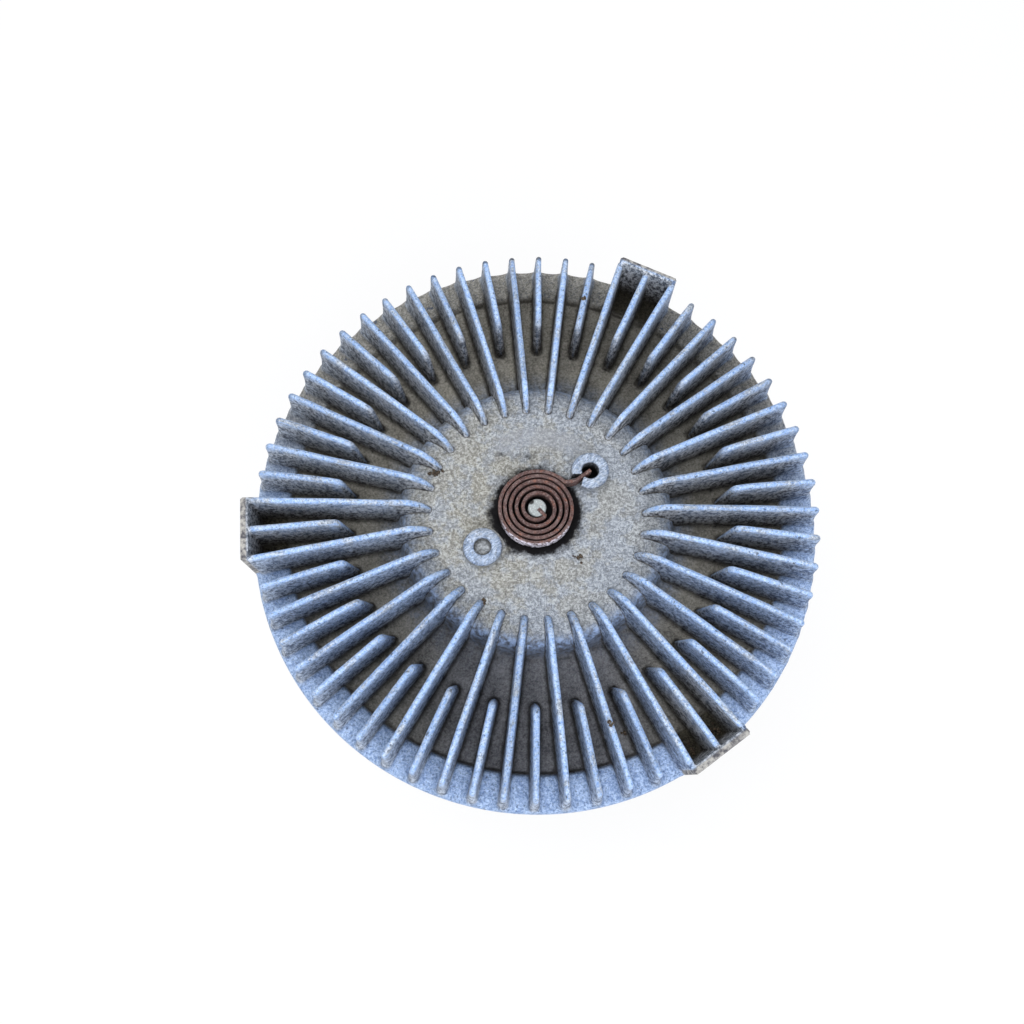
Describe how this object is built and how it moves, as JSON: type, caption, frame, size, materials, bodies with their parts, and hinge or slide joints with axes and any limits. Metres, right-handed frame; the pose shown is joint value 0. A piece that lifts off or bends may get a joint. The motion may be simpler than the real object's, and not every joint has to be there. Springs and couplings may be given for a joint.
{
  "type": "viscous fan clutch",
  "caption": "Viscous fan clutch: a finned housing that spins on a flanged drive shaft, with a bimetal coil on its front that turns the fluid valve.",
  "frame": {"origin": "on the axis, at the flange face that seats on the pump hub", "axes": "+Z along the axis, from the flange towards the finned front; +X to the right and +Y up when the front is seen with the slotted boss at the upper right"},
  "size_m": [0.2032, 0.2032, 0.0969],
  "materials": {
    "cover_casting": "as cast, weathered and dirty",
    "body_casting": "as cast, with machined seats",
    "shaft_steel": "turned, lightly rusted",
    "turned_aluminium": "turned",
    "bearing_steel": "ground",
    "cage_polymer": "moulded",
    "seal_rubber": "moulded",
    "spring_steel": "blued",
    "plate_steel": "rolled",
    "pin_steel": "ground and staked",
    "bimetal_strip": "rusted",
    "wiper_polymer": "moulded"
  },
  "bodies": {
    "shaft": {"input_shaft": "shaft_steel", "bearing_inner_ring": "bearing_steel", "rotor": "turned_aluminium"},
    "ball_cage": {"bearing_cage": "cage_polymer", "bearing_balls": "bearing_steel"},
    "housing": {"finned_cover": "cover_casting", "rear_body": "body_casting", "bearing_outer_ring": "bearing_steel", "bearing_front_seal": "seal_rubber", "bearing_rear_seal": "seal_rubber", "bearing_retaining_ring": "spring_steel", "valve_plate": "plate_steel", "valve_plate_rivets": "plate_steel", "bimetal_coil": "bimetal_strip", "cover_seal": "seal_rubber", "pump_wiper": "wiper_polymer", "return_plug": "pin_steel"},
    "valve": {"valve_shaft": "pin_steel", "valve_arm": "plate_steel", "valve_shaft_seal": "seal_rubber"}
  },
  "joints": [
    {"name": "housing_spin", "type": "hinge", "parent": "shaft", "child": "housing", "pos_m": [0, 0, 0.0465], "axis": [0, 0, 1], "continuous": true},
    {"name": "ball_orbit", "type": "hinge", "parent": "shaft", "child": "ball_cage", "pos_m": [0, 0, 0.0465], "axis": [0, 0, 1], "continuous": true},
    {"name": "valve_turn", "type": "hinge", "parent": "housing", "child": "valve", "pos_m": [0, 0, 0.0872], "axis": [0, 0, -1], "range_deg": [0, 40], "stiffness_Nm_per_rad": 0.02, "deforming": ["bimetal_coil"]}
  ],
  "couplings": [
    {"joint": "ball_orbit", "follows": "housing_spin", "ratio": 0.6018}
  ]
}
